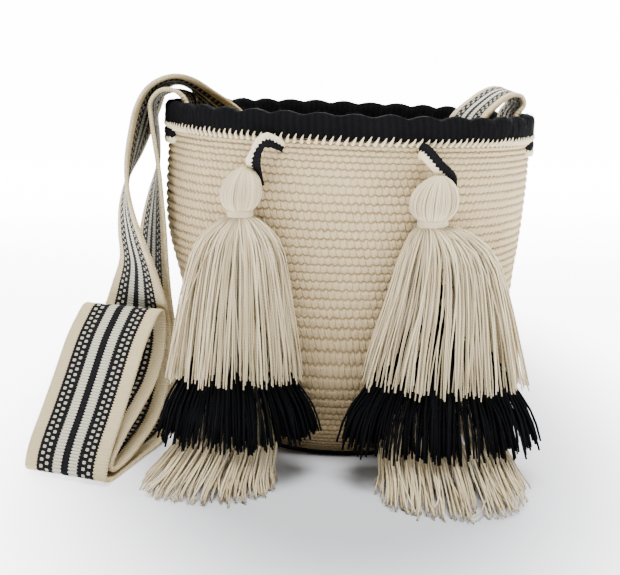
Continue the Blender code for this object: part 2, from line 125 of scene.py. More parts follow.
world = bpy.data.worlds.new("studio_air")
world.use_nodes = True
world.node_tree.nodes["Background"].inputs["Color"].default_value = (0.96, 0.98, 1.0, 1.0)
world.node_tree.nodes["Background"].inputs["Strength"].default_value = 0.06
scene.world = world
lamp("top_lamp", (0.1, -0.36, 1.7), (0.0, -0.05, 0.15), 0.8, 76.0)
lamp("side_lamp", (-1.3, -0.8, 1.5), (0.0, 0.0, 0.15), 0.7, 8.0)

view = bpy.data.cameras.new("view")
view.sensor_width = 36.0
view.lens = 54.6
camera = bpy.data.objects.new("camera", view)
camera.location = (-0.029, -0.70, 0.2715)
camera.rotation_euler = (math.radians(90.0 - 13.52), 0.0, 0.0)
scene.collection.objects.link(camera)
scene.camera = camera

# ---- The crocheted side -------------------------------------------------------------------------
# One spiral of single crochet in natural cotton, worked round and round from the base to the
# black edging. Each round is a plump ridge and each stitch a small leaning bump on it.
STITCHES = 176
ROUNDS = 43
FABRIC = 0.003
# How far a stitch leans over its round, and how far each round starts past the one below it.
STITCH_LEAN, ROUND_SHIFT = 0.30, 0.37
STITCH_RISE, STITCH_SINK = 0.0013, 0.0006
# Cotton colours: the light one, a painted shade for the lowest rounds, and the dark that tone patches
# and painted groove shade go to.
COTTON, PAINTED_SHADE_COTTON, DEEP_COTTON = (0.56, 0.438, 0.250), (0.30, 0.213, 0.108), (0.18, 0.116, 0.053)
# The side's outline from the base up: height, half width, half depth.
WALL_PROFILE = [
    (0.0038, 0.0895, 0.0810), (0.010, 0.0950, 0.0845), (0.025, 0.1030, 0.0895),
    (0.050, 0.1120, 0.0945), (0.093, 0.1208, 0.0990), (0.125, 0.1245, 0.1010),
    (0.152, 0.1275, 0.1025), (0.180, 0.1292, 0.1030), (0.206, 0.1300, 0.1030),
    (0.2225, 0.1300, 0.1025),
]


def blend_rows(rows, place):
    """Catmull-Rom reading of a list of equal-length rows, at a place from 0 to 1."""
    spans = len(rows) - 1
    span = min(int(place * spans), spans - 1)
    t = place * spans - span
    a, b, c, d = rows[max(span - 1, 0)], rows[span], rows[span + 1], rows[min(span + 2, spans)]
    return [0.5 * (2 * q + (r - p) * t + (2 * p - 5 * q + 4 * r - s) * t * t
                   + (3 * q - p - 3 * r + s) * t ** 3) for p, q, r, s in zip(a, b, c, d)]


def ease(value):
    """Smooth step from 0 to 1."""
    value = min(max(value, 0.0), 1.0)
    return value * value * (3.0 - 2.0 * value)


def slump(point):
    """The mouth's lean and the bulge of the left side, at a point of the bag."""
    lean = -0.041 * point.x * ease((point.z - 0.10) / 0.1386)
    bulge = 0.0
    if point.x < 0.0:
        bulge = -0.0085 * math.exp(-((point.z - 0.150) / 0.048) ** 2) * (point.x / 0.1335) ** 4
    return Vector((bulge, 0.0, lean))


def wall_point(angle, height, sink):
    """A point of the side at an angle and a fraction of its height, so far under its face."""
    z, wide, deep = blend_rows(WALL_PROFILE, height)
    point = Vector(((wide - sink) * math.cos(angle), (deep - sink) * math.sin(angle), z))
    outward = Vector((math.cos(angle), math.sin(angle), 0.0))
    hollows = noise.noise(Vector((math.cos(angle) * 2.2, math.sin(angle) * 2.2, height * 3.0)))
    fade = ease((1.0 - height) * 8.0) * ease(height * 8.0)
    return point + slump(point) + outward * hollows * 0.0016 * fade


def finish_piece(name, bm, material, body, nodes=()):
    """Turn a bmesh into a smooth piece that rides on a body and stands for CAD nodes."""
    mesh = bpy.data.meshes.new(name)
    bm.to_mesh(mesh)
    bm.free()
    mesh.shade_smooth()
    mesh.materials.append(material)
    item = bpy.data.objects.new(name, mesh)
    scene.collection.objects.link(item)
    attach(item, body)
    if nodes:
        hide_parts(*nodes)
    return item


def mix_colour(tree, share, first, second):
    """One colour Mix node's result."""
    item = join(tree, "ShaderNodeMix", {"data_type": "RGBA"})
    for socket, value in ((item.inputs[0], share), (item.inputs[6], first), (item.inputs[7], second)):
        if isinstance(value, bpy.types.NodeSocket):
            tree.links.new(value, socket)
        else:
            socket.default_value = value
    return item.outputs[2]


# Spun cotton: a fine fibre grain and slow shifts of tone, from two colours that it wanders between.
# Where its relief is low, in grooves and hollows, the colour is pulled towards the dark one: painted
# shade.
cotton = bpy.data.node_groups.new("spun_cotton", "ShaderNodeTree")
for socket_name, kind in (("Light", "NodeSocketColor"), ("Dark", "NodeSocketColor"),
                          ("Relief", "NodeSocketFloat")):
    cotton.interface.new_socket(socket_name, in_out="INPUT", socket_type=kind)
for socket_name, kind in (("Color", "NodeSocketColor"), ("Height", "NodeSocketFloat")):
    cotton.interface.new_socket(socket_name, in_out="OUTPUT", socket_type=kind)
given = cotton.nodes.new("NodeGroupInput").outputs
place = join(cotton, "ShaderNodeTexCoord").outputs["Object"]
grain = join(cotton, "ShaderNodeTexNoise", Vector=place, Scale=1900.0, Detail=3.0)
patches = join(cotton, "ShaderNodeTexNoise", Vector=place, Scale=38.0, Detail=2.0)
tone = calc(cotton, "MULTIPLY_ADD", patches.outputs["Fac"], 0.55, -0.12)
tone = calc(cotton, "ADD", tone, calc(cotton, "MULTIPLY", grain.outputs["Fac"], 0.30))
# Painted shade: low relief darkens the tone.
tone = calc(cotton, "SUBTRACT", tone, calc(cotton, "MULTIPLY_ADD", given["Relief"], 0.9, -0.55))
tone = join(cotton, "ShaderNodeClamp", Value=tone).outputs[0]
result = cotton.nodes.new("NodeGroupOutput").inputs
cotton.links.new(mix_colour(cotton, tone, given["Light"], given["Dark"]), result["Color"])
cotton.links.new(grain.outputs["Fac"], result["Height"])


def cotton_material(name, light, dark, relief=0.5, strength=0.35, sheen=0.25, shine=0.15):
    """A dull yarn material; relief is a fixed value or the name of a vertex attribute."""
    material = bpy.data.materials.new(name)
    material.use_nodes = True
    tree = material.node_tree
    shader = tree.nodes["Principled BSDF"]
    shader.inputs["Roughness"].default_value = 0.92
    shader.inputs["Specular IOR Level"].default_value = shine
    shader.inputs["Sheen Weight"].default_value = sheen
    shader.inputs["Sheen Roughness"].default_value = 0.6
    group = join(tree, "ShaderNodeGroup", {"node_tree": cotton}, Light=(*light, 1.0),
                 Dark=(*dark, 1.0))
    # The relief paints low places darker, as painted shade.
    if isinstance(relief, str):
        attribute = join(tree, "ShaderNodeAttribute", {"attribute_name": relief})
        tree.links.new(attribute.outputs["Fac"], group.inputs["Relief"])
    else:
        group.inputs["Relief"].default_value = relief
    tree.links.new(group.outputs["Color"], shader.inputs["Base Color"])
    bump = join(tree, "ShaderNodeBump", Strength=strength, Distance=0.0004,
                Height=group.outputs["Height"])
    tree.links.new(bump.outputs["Normal"], shader.inputs["Normal"])
    return material


def stitch_relief(turn, round_place):
    """How high the crochet stands at a place: 0 in a groove, 1 on the crown of a stitch."""
    course = int(round_place)
    part = round_place - course
    ridge = abs(math.sin(math.pi * part)) ** 0.55
    lean = turn * STITCHES + STITCH_LEAN * part + ROUND_SHIFT * course
    bump = 0.5 + 0.5 * math.cos(2.0 * math.pi * (lean - 0.5))
    jitter = noise.noise(Vector((math.floor(lean) * 1.7, course * 2.3, 0.0)))
    return ridge * (0.70 + 0.30 * bump) * (1.0 + 0.20 * jitter)


def side_shell():
    """The side's outer and inner faces in one closed shell, the stitches raised on the outer."""
    outer_rows, inner_rows = ROUNDS * 3, 8
    rows = outer_rows + inner_rows
    columns = STITCHES * 4
    bm = bmesh.new()
    bmesh.ops.create_grid(bm, x_segments=columns, y_segments=rows, size=0.5)
    layers = [bm.verts.layers.float.new(name) for name in ("round", "turn_x", "turn_y")]
    for vert in bm.verts:
        turn, row = vert.co.x + 0.5, round((vert.co.y + 0.5) * rows)
        angle = 2.0 * math.pi * turn
        if row <= outer_rows:
            height = row / outer_rows
            raised = stitch_relief(turn, height * ROUNDS - 1e-6 if row else 0.0)
            sink = STITCH_SINK - STITCH_RISE * raised
        else:
            height = 1.0 - (row - outer_rows) / inner_rows
            sink = FABRIC if row < rows else STITCH_SINK
        for layer, value in zip(layers, (height * ROUNDS, math.cos(angle), math.sin(angle))):
            vert[layer] = value
        vert.co = wall_point(angle, height, sink)
    bmesh.ops.remove_doubles(bm, verts=bm.verts, dist=1e-5)
    bmesh.ops.recalc_face_normals(bm, faces=bm.faces)
    return bm


def fraction_of(tree, value, size, slope=0.5):
    """A soft hump across each unit step of a value: 0 at the step's ends, 1 along its middle."""
    wave = calc(tree, "MULTIPLY", calc(tree, "PINGPONG", value, 0.5), 2.0)
    return calc(tree, "POWER", calc(tree, "MINIMUM", calc(tree, "DIVIDE", wave, size), 1.0), slope)


def weave_into(material, height, depth, strength):
    """Feed a fine surface height, with the fibre grain on it, into a cotton material's bump."""
    tree = material.node_tree
    bump = tree.nodes["Bump"]
    grain_height = bump.inputs["Height"].links[0].from_socket
    total = calc(tree, "MULTIPLY_ADD", grain_height, 0.22, height)
    tree.links.new(total, bump.inputs["Height"])
    bump.inputs["Distance"].default_value = depth
    bump.inputs["Strength"].default_value = strength


def read_attribute(tree, name):
    """A vertex attribute's value."""
    return join(tree, "ShaderNodeAttribute", {"attribute_name": name}).outputs["Fac"]


# Each stitch is a leaning V of two yarns, with a slit beside it and a groove under its round; the slit
# and groove are painted dark as painted shade. The rounds near the floor are painted darker too, as
# painted shade where the side turns away from the lamp overhead.
natural = cotton_material("natural_crochet", COTTON, DEEP_COTTON, sheen=0.0)
tree = natural.node_tree
round_place = read_attribute(tree, "round")
turn = calc(tree, "ARCTAN2", read_attribute(tree, "turn_y"), read_attribute(tree, "turn_x"))
turn = calc(tree, "DIVIDE", turn, 2.0 * math.pi)
course = calc(tree, "FLOOR", round_place)
part = calc(tree, "FRACT", round_place)
lean = calc(tree, "MULTIPLY_ADD", course, ROUND_SHIFT, calc(tree, "MULTIPLY", part, STITCH_LEAN))
lean = calc(tree, "MULTIPLY_ADD", turn, STITCHES, lean)
wobble = join(tree, "ShaderNodeTexNoise", Vector=join(tree, "ShaderNodeTexCoord").outputs["Object"],
              Scale=260.0, Detail=2.0).outputs["Fac"]
lean = calc(tree, "MULTIPLY_ADD", wobble, 0.5, lean)
waved_round = calc(tree, "MULTIPLY_ADD", calc(tree, "SUBTRACT", wobble, 0.5), 0.45, round_place)
arch = calc(tree, "PINGPONG", calc(tree, "ADD", lean, 0.2), 0.5)
groove = fraction_of(tree, calc(tree, "MULTIPLY_ADD", arch, 0.38, waved_round), 0.50)
slit = fraction_of(tree, lean, 0.34)
notch = calc(tree, "MULTIPLY_ADD", part, 0.55, calc(tree, "ADD", lean, 0.25))
vee = fraction_of(tree, notch, 0.25)
stitch = calc(tree, "MULTIPLY", groove, calc(tree, "MULTIPLY_ADD", slit, 0.60, 0.40))
stitch = calc(tree, "MULTIPLY", stitch, calc(tree, "MULTIPLY_ADD", vee, 0.22, 0.78))
# Painted shade: the stitch relief darkens the slits and grooves.
tree.links.new(stitch, tree.nodes["Group"].inputs["Relief"])
# Painted shade: darker towards the floor.
low = join(tree, "ShaderNodeMapRange", Value=round_place, From_Min=0.0, From_Max=ROUNDS * 0.72,
           To_Min=0.80, To_Max=0.0).outputs[0]
tree.links.new(mix_colour(tree, low, (*COTTON, 1.0), (*PAINTED_SHADE_COTTON, 1.0)),
               tree.nodes["Group"].inputs["Light"])
weave_into(natural, stitch, 0.0015, 0.8)
finish_piece("crocheted_side", side_shell(), natural, "bag", ("bag_wall",))

# ---- The base -----------------------------------------------------------------------------------
# A flat round of black crochet, started from a ring at its middle, that the side grows out of. From
# outside, only its edge shows, as a thin dark line, while the bag stands.
BASE_RINGS = 17


def base_shell():
    """Underside, rounded edge and upper face of the base, ridged in rings."""
    columns, rows = 128, BASE_RINGS * 6
    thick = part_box("base_disc")[1].z
    _, wide, deep = WALL_PROFILE[0]
    bm = bmesh.new()
    bmesh.ops.create_grid(bm, x_segments=columns, y_segments=rows, size=0.5)
    relief = bm.verts.layers.float.new("relief")
    for vert in bm.verts:
        angle, place = 2.0 * math.pi * (vert.co.x + 0.5), (vert.co.y + 0.5) * 2.0
        under = place < 1.0
        reach = place if under else 2.0 - place
        ridge = abs(math.sin(math.pi * reach * BASE_RINGS))
        bump = 0.5 + 0.5 * math.cos(angle * round(6 + reach * 110))
        raised = ridge * (0.6 + 0.4 * bump)
        # Painted shade: the relief darkens the grooves between the rings.
        vert[relief] = raised
        edge = math.sqrt(max(1.0 - (max(reach - 0.985, 0.0) / 0.015) ** 2, 0.0))
        half = thick / 2 * edge
        z = thick / 2 + (half - 0.0005 * (1.0 - raised) * edge) * (-1.0 if under else 1.0)
        vert.co = Vector((wide * reach * math.cos(angle), deep * reach * math.sin(angle), z))
    bmesh.ops.remove_doubles(bm, verts=bm.verts, dist=1e-5)
    bmesh.ops.recalc_face_normals(bm, faces=bm.faces)
    return bm


# Its relief attribute paints the grooves of the base and the edging darker, as painted shade.
black_crochet = cotton_material("black_crochet", (0.0052, 0.0053, 0.0058), (0.0018, 0.0018, 0.0020),
                                "relief", strength=0.5, sheen=0.0, shine=0.02)
finish_piece("crocheted_base", base_shell(), black_crochet, "bag", ("base_disc",))

# ---- The black edging ---------------------------------------------------------------------------
# Thick fuzzy edging: two plain black rounds, then a round of shells that scallop the mouth. Loose
# fibres stand off it all over, so its outline is soft.
SCALLOPS = 36
RIM_OUTER, RIM_INNER = (0.1335, 0.1055), (0.1245, 0.0965)
RIM_LOW, RIM_HIGH = 0.2226, 0.2386


def rim_point(turn, around):
    """A point of the edging's face: turn round the mouth, and around its section from outside."""
    angle = 2.0 * math.pi * turn
    section = 2.0 * math.pi * around
    side = math.copysign(abs(math.cos(section)) ** 0.55, math.cos(section))
    up = math.copysign(abs(math.sin(section)) ** 0.55, math.sin(section))
    shell = 0.5 + 0.5 * math.cos(SCALLOPS * angle)
    uneven = 0.0008 * noise.noise(Vector((turn * 47.0, 0.0, 5.0)))
    crown = (0.0021 * (shell ** 0.7 - 0.5) + uneven) * ease(up)
    rib = 0.5 + 0.5 * math.cos(angle * SCALLOPS * 5 + 0.6 * up)
    groove = math.exp(-((up + 0.25) / 0.13) ** 2) * 0.0006
    swell = 0.0004 * rib * (0.4 + 0.6 * ease(up + 0.5)) + 0.0007 * shell * ease(up + 0.4) - groove
    ring = Vector((math.cos(angle), math.sin(angle), 0.0))
    rough = 0.0008 * noise.noise(ring * 30.0 + Vector((0.0, 0.0, up * 2.5)))
    rough += 0.0005 * noise.noise(ring * 95.0 + Vector((0.0, 0.0, up * 7.0)))
    thin = 1.0 - 0.22 * ease(up)
    middle_x, middle_y = (RIM_OUTER[0] + RIM_INNER[0]) / 2, (RIM_OUTER[1] + RIM_INNER[1]) / 2
    half = (RIM_OUTER[0] - RIM_INNER[0]) / 2
    offset = side * (half * thin + swell + rough)
    z = (RIM_LOW + RIM_HIGH) / 2 + up * (RIM_HIGH - RIM_LOW) / 2 + crown
    point = Vector(((middle_x + offset) * math.cos(angle), (middle_y + offset) * math.sin(angle), z))
    # The second value, the relief, is painted shade: darker between the ribs and in the groove.
    return point + slump(point), 0.3 + 0.5 * rib - groove * 500.0


def edging_shell():
    """The edging's closed ring."""
    columns, rows = SCALLOPS * 20, 28
    bm = bmesh.new()
    bmesh.ops.create_grid(bm, x_segments=columns, y_segments=rows, size=0.5)
    relief = bm.verts.layers.float.new("relief")
    for vert in bm.verts:
        vert.co, vert[relief] = rim_point(vert.co.x + 0.5, vert.co.y + 0.5)
    bmesh.ops.remove_doubles(bm, verts=bm.verts, dist=1e-5)
    bmesh.ops.recalc_face_normals(bm, faces=bm.faces)
    return bm


def yarn_mesh(strands, radius, sides=6):
    """A bmesh of round yarns; each strand is a list of (point, thickness factor)."""
    curve = bpy.data.curves.new("yarns", "CURVE")
    curve.dimensions = "3D"
    curve.bevel_depth = radius
    curve.bevel_resolution = (sides - 4) // 2
    curve.use_fill_caps = True
    for strand in strands:
        spline = curve.splines.new("POLY")
        spline.points.add(len(strand) - 1)
        for knot, (point, factor) in zip(spline.points, strand):
            knot.co = (*point, 1.0)
            knot.radius = factor
    item = bpy.data.objects.new("yarns", curve)
    scene.collection.objects.link(item)
    bpy.context.view_layer.update()
    mesh = bpy.data.meshes.new_from_object(item.evaluated_get(bpy.context.evaluated_depsgraph_get()))
    bpy.data.objects.remove(item)
    bpy.data.curves.remove(curve)
    bm = bmesh.new()
    bm.from_mesh(mesh)
    bpy.data.meshes.remove(mesh)
    bmesh.ops.remove_doubles(bm, verts=bm.verts, dist=1e-7)
    return bm


def fuzz(point_of, count, length, radius, seed):
    """Loose fibres standing off a surface: short tapering hairs, each with one soft bend."""
    chance = random.Random(seed)
    hairs = []
    for _ in range(count):
        turn, around = chance.random(), chance.random()
        base = point_of(turn, around)[0]
        outward = point_of(turn + 0.0006, around)[0] - base
        across = point_of(turn, around + 0.004)[0] - base
        normal = outward.cross(across).normalized()
        stray = Vector((chance.gauss(0, 1), chance.gauss(0, 1), chance.gauss(0, 1))) * 0.55
        reach = length * chance.uniform(0.4, 1.0)
        middle = base + (normal + stray) * reach * 0.5
        tip = middle + (normal * 0.5 + stray * 1.3) * reach * 0.5
        hairs.append([(base - normal * 0.0003, 1.0), (middle, 0.8), (tip, 0.25)])
    return yarn_mesh(hairs, radius, sides=4)


finish_piece("scalloped_edging", edging_shell(), black_crochet, "bag",
             ("rim_edging",))
black_fibre = cotton_material("black_fibre", (0.009, 0.009, 0.0105), (0.004, 0.004, 0.005),
                              sheen=0.0, shine=0.02)
finish_piece("edging_fuzz", fuzz(rim_point, 3600, 0.0026, 0.00008, 3), black_fibre, "bag")

# ---- The colour change --------------------------------------------------------------------------
# Where the yarn changes, the last natural stitches reach up over the black one by one, as a row
# of small leaning teeth.


def colour_teeth():
    """One short tapering loop of natural yarn for each stitch, lying on the edging's foot."""
    chance = random.Random(11)
    teeth = []
    for index in range(STITCHES):
        turn = (index + 0.5) / STITCHES
        rise = chance.uniform(0.0024, 0.0036)
        loop = []
        for step in range(6):
            t = step / 5
            angle = 2.0 * math.pi * (turn + 0.0030 * t)
            reach = 0.0008 + 0.0031 * ease(t * 1.6)
            point = Vector(((0.130 + reach) * math.cos(angle), (0.1023 + reach) * math.sin(angle),
                            RIM_LOW - 0.0022 + (rise + 0.0022) * t))
            loop.append((point + slump(point), 1.0 - 0.85 * t))
        teeth.append(loop)
    return yarn_mesh(teeth, 0.0015)


natural_yarn = cotton_material("natural_yarn", (0.82, 0.72, 0.49), (0.50, 0.39, 0.21), sheen=0.05)
finish_piece("colour_change", colour_teeth(), natural_yarn, "bag")

# ---- The drawstring -----------------------------------------------------------------------------
# A flat crocheted cord, one half natural and one half black, threaded in and out of the side just
# under the edging. Its two ends come out at the front, and each holds a tassel by its head.
FRONT_LEFT, FRONT_RIGHT = -111.0, -71.0
EYELET_ANGLES = [FRONT_LEFT, -160, 160, 125, 100, 80, 55, 20, -20, FRONT_RIGHT]
CROSSING_ANGLE = 2.7
CORD_INSIDE, CORD_OUTSIDE, CORD_TWIST = -0.0042, 0.0042, -0.0080
CORD_HALF_WIDTH, CORD_HALF_THICKNESS = 0.0046, 0.0014
CHAIN_PITCH = 0.0030


def cord_seat(degrees, offset):
    """A point on the eyelet round at an angle, so far outside (+) or inside (-) the wall."""
    angle = math.radians(degrees)
    point = Vector(((0.1285 + offset) * math.cos(angle), (0.1010 + offset) * math.sin(angle), 0.2158))
    return point + slump(point)


def cord_route():
    """The drawstring's middle line and width direction, from one tassel to the other.

    The width direction points to the black half.
    """
    upright = (0.0, 0.0, 1.0)
    route = [
        (-0.0618, -0.0955, 0.1950, 0.60, -0.78, -0.20),
        (-0.0626, -0.0985, 0.2000, 0.62, -0.76, -0.20),
        (-0.0634, -0.1040, 0.2050, 0.70, -0.68, -0.20),
        (-0.0645, -0.1095, 0.2090, 0.92, -0.38, 0.00),
        (-0.0638, -0.1125, 0.2145, 0.96, -0.05, 0.20),
        (-0.0612, -0.1112, 0.2190, 0.90, 0.00, 0.30),
        (-0.0580, -0.1070, 0.2225, 0.68, 0.10, -0.73),
        (-0.0548, -0.1035, 0.2234, 0.20, 0.20, -0.96),
        (-0.0515, -0.1005, 0.2218, 0.00, 0.35, -0.94),
        (-0.0480, -0.0975, 0.2200, -0.05, 0.50, -0.86),
        (*cord_seat(FRONT_LEFT, 0.0), 0.0, 0.35, -0.93),
        (*cord_seat(FRONT_LEFT - CROSSING_ANGLE, CORD_INSIDE), 0.0, 0.0, -1.0),
        (*cord_seat(FRONT_LEFT - 12, CORD_INSIDE), 0.10, 0.20, -0.97),
        (*cord_seat(FRONT_LEFT - 20, CORD_TWIST), 0.30, 0.60, -0.70),
        (*cord_seat(FRONT_LEFT - 26, CORD_TWIST), 0.45, 0.88, 0.00),
        (*cord_seat(FRONT_LEFT - 32, CORD_TWIST), 0.35, 0.55, 0.72),
        (*cord_seat(FRONT_LEFT - 40, CORD_INSIDE), 0.10, 0.15, 0.97),
    ]
    # The round is walked the way that the angles fall, so each one is at most the one before.
    turns = [angle if angle <= EYELET_ANGLES[0] else angle - 360 for angle in EYELET_ANGLES]
    for index, (start, end) in enumerate(zip(turns, turns[1:])):
        side = CORD_INSIDE if index % 2 == 0 else CORD_OUTSIDE
        start_in, end_in = start - CROSSING_ANGLE, end + CROSSING_ANGLE
        steps = max(int((start - end) / 9), 2)
        # The first stretch is laid out above as far as its half twist, so only its end follows.
        for step in range(steps if index == 0 else 0, steps + 1):
            angle = start_in + (end_in - start_in) * step / steps
            route.append((*cord_seat(angle, side), *upright))
        route.append((*cord_seat(end, 0.0), *upright))
    return route + [
        (0.0418, -0.1020, 0.2168, 0.35, -0.10, 0.93),
        (0.0440, -0.1060, 0.2155, 0.75, -0.10, 0.65),
        (0.0475, -0.1115, 0.2115, 0.88, -0.12, 0.46),
        (0.0512, -0.1135, 0.2075, 0.86, -0.25, 0.42),
        (0.0552, -0.1118, 0.2042, 0.82, -0.45, 0.33),
        (0.0595, -0.1060, 0.1996, 0.75, -0.62, 0.22),
        (0.0608, -0.1010, 0.1930, 0.66, -0.74, 0.10),
    ]


def stations_along(route, spacing, middle):
    """Even stations on a smooth route: (point, tangent, across, normal, distance) for each.

    middle is how far the route's points lie from the band's middle line, along its width.
    """
    fine = [blend_rows(route, step / (len(route) * 24)) for step in range(len(route) * 24 + 1)]
    centres = [Vector(row[:3]) + Vector(row[3:]).normalized() * middle for row in fine]
    reach = [0.0]
    for before, after in zip(centres, centres[1:]):
        reach.append(reach[-1] + (after - before).length)
    count = max(int(reach[-1] / spacing), 2)
    stations, cursor = [], 0
    for step in range(count + 1):
        goal = reach[-1] * step / count
        while cursor < len(reach) - 2 and reach[cursor + 1] < goal:
            cursor += 1
        t = (goal - reach[cursor]) / max(reach[cursor + 1] - reach[cursor], 1e-9)
        point = centres[cursor].lerp(centres[cursor + 1], t)
        across = Vector(fine[cursor][3:]).lerp(Vector(fine[cursor + 1][3:]), t).normalized()
        low, high = max(cursor - 6, 0), min(cursor + 7, len(centres) - 1)
        tangent = (centres[high] - centres[low]).normalized()
        stations.append((point, tangent, across, across.cross(tangent).normalized(), goal))
    return stations


def band_shell(stations, half_width, around, lift, pitch):
    """A closed flat band; lift(side, along) gives its half thickness, side running -1 to 1.

    Its edges bulge once for every pitch along it, where the yarn turns back.
    """
    bm = bmesh.new()
    bmesh.ops.create_grid(bm, x_segments=len(stations) - 1, y_segments=around, size=0.5)
    across_layer = bm.verts.layers.float.new("across")
    along_layer = bm.verts.layers.float.new("along")
    for vert in bm.verts:
        point, _, across, normal, along = stations[round((vert.co.x + 0.5) * (len(stations) - 1))]
        section = 2.0 * math.pi * (vert.co.y + 0.5)
        side = math.copysign(abs(math.cos(section)) ** 0.8, math.cos(section))
        edge = min(abs(math.sin(section)) / 0.30, 1.0) ** 0.5
        up = math.copysign(edge, math.sin(section)) if edge > 1e-3 else 0.0
        vert[across_layer], vert[along_layer] = side, along
        turnback = 0.0005 * abs(math.sin(math.pi * along / pitch)) * side ** 7
        vert.co = point + across * (side * half_width + turnback) + normal * up * lift(side, along)
    bmesh.ops.remove_doubles(bm, verts=bm.verts, dist=1e-6)
    ends = [edge for edge in bm.edges if edge.is_boundary]
    bmesh.ops.holes_fill(bm, edges=ends, sides=around + 4)
    bmesh.ops.recalc_face_normals(bm, faces=bm.faces)
    return bm


def chain_lift(side, along):
    """Half thickness of the drawstring: two columns of slanting chain stitches."""
    slant = along / CHAIN_PITCH + 0.5 * abs(side)
    stitch = abs(math.sin(math.pi * slant)) ** 0.7
    column = abs(math.sin(math.pi * side)) ** 0.6
    return CORD_HALF_THICKNESS * (0.55 + 0.5 * stitch * (0.3 + 0.7 * column))


cord_yarn = cotton_material("two_tone_cord", (0.82, 0.74, 0.52), (0.50, 0.40, 0.22), sheen=0.0,
                            shine=0.03)
tree = cord_yarn.node_tree
along = read_attribute(tree, "along")
across = read_attribute(tree, "across")
saw = calc(tree, "PINGPONG", calc(tree, "DIVIDE", along, CHAIN_PITCH), 0.5)
split = calc(tree, "GREATER_THAN", calc(tree, "MULTIPLY_ADD", saw, 0.6, across), -0.02)
shader = tree.nodes["Principled BSDF"]
natural_tone = shader.inputs["Base Color"].links[0].from_socket
tree.links.new(mix_colour(tree, split, natural_tone, (0.006, 0.006, 0.007, 1.0)),
               shader.inputs["Base Color"])
cord_stations = stations_along(cord_route(), 0.0009, 0.0)
finish_piece("drawstring_cord", band_shell(cord_stations, CORD_HALF_WIDTH, 20, chain_lift,
                                           CHAIN_PITCH),
             cord_yarn, "bag", ("drawstring",))

# ---- The shoulder strap -------------------------------------------------------------------------
# One warp-faced woven band, both ends fixed inside the mouth. Its slack lies folded back and forth
# at the bag's left side; the stripes and rows of dots are woven in and show on both faces.
STRAP_WIDTH, STRAP_HALF = 0.063, 0.0013
# A rung is one pass of the weft. A dot's half length is in metres, and its half width is a share of
# the band's half width.
RUNG = 0.0021
DOT_LENGTH, DOT_WIDTH = 0.00098, 0.040
STRIPE_BLACK = (0.0065, 0.0065, 0.0075, 1.0)


def bundle(along, height, across=(-0.94, 0.34, 0.0)):
    """A near-edge point in the folded bundle, measured back from its front corner on the floor."""
    return (-0.1616 + 0.34 * along, -0.1288 + 0.94 * along, height, *across)


